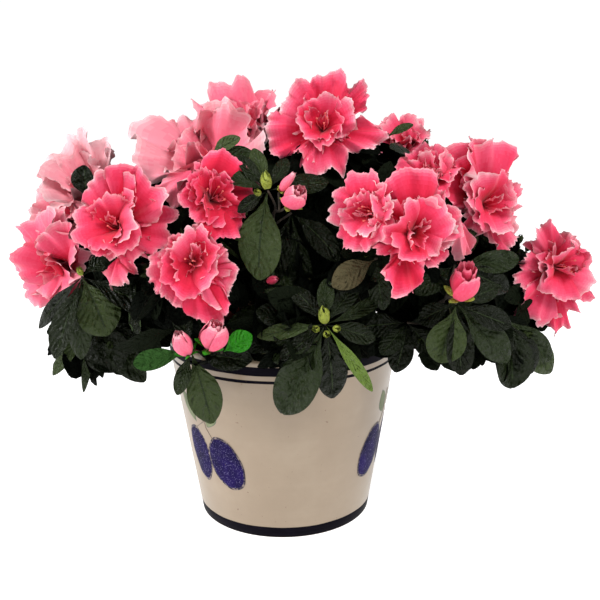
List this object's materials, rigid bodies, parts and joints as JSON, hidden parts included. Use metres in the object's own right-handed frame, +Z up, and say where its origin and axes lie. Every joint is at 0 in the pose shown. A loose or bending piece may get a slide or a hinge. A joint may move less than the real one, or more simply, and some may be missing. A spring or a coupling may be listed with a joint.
{
  "type": "azalea shrub in a glazed pot",
  "caption": "Compact flowering azalea shrub with ruffled pink double blooms and dark leaves, growing in a round cream glazed pot with dark bands and painted plums.",
  "frame": {"origin": "centre of the pot's flat underside", "axes": "+Z up along the pot's axis, +X to the right as seen from the plant's front, -Y towards the front"},
  "size_m": [0.3435, 0.2706, 0.2696],
  "materials": {
    "glaze": "satin",
    "painted_bands": "satin",
    "painted_plums": "satin",
    "painted_leaves": "satin",
    "soil": "matte",
    "bark": "matte",
    "foliage": "matte",
    "young_leaves": "satin",
    "blossom": "matte",
    "buds": "matte",
    "stamens": "matte"
  },
  "bodies": {
    "root": {"pot": "glaze", "soil": "soil", "stem": "bark", "foliage_top": "foliage", "foliage_left_top": "foliage", "foliage_right_top": "foliage", "foliage_left": "foliage", "foliage_right": "foliage", "foliage_front_right": "foliage", "foliage_front_left": "foliage", "foliage_front": "foliage", "foliage_middle": "foliage", "foliage_left_low": "foliage", "foliage_right_low": "foliage", "foliage_back_left": "foliage", "foliage_back_right": "foliage", "foliage_back": "foliage", "foliage_back_top": "foliage", "bough_top": "bark", "bough_front_left": "bark", "bough_front_right": "bark", "bough_right": "bark", "bough_left": "bark", "bough_back": "bark", "bough_back_left": "bark", "bough_back_right": "bark", "bough_front": "bark", "bough_middle": "bark", "bough_left_top": "bark", "bough_back_top": "bark", "bough_right_top": "bark", "bough_right_low": "bark", "bough_left_low": "bark"}
  },
  "joints": []
}
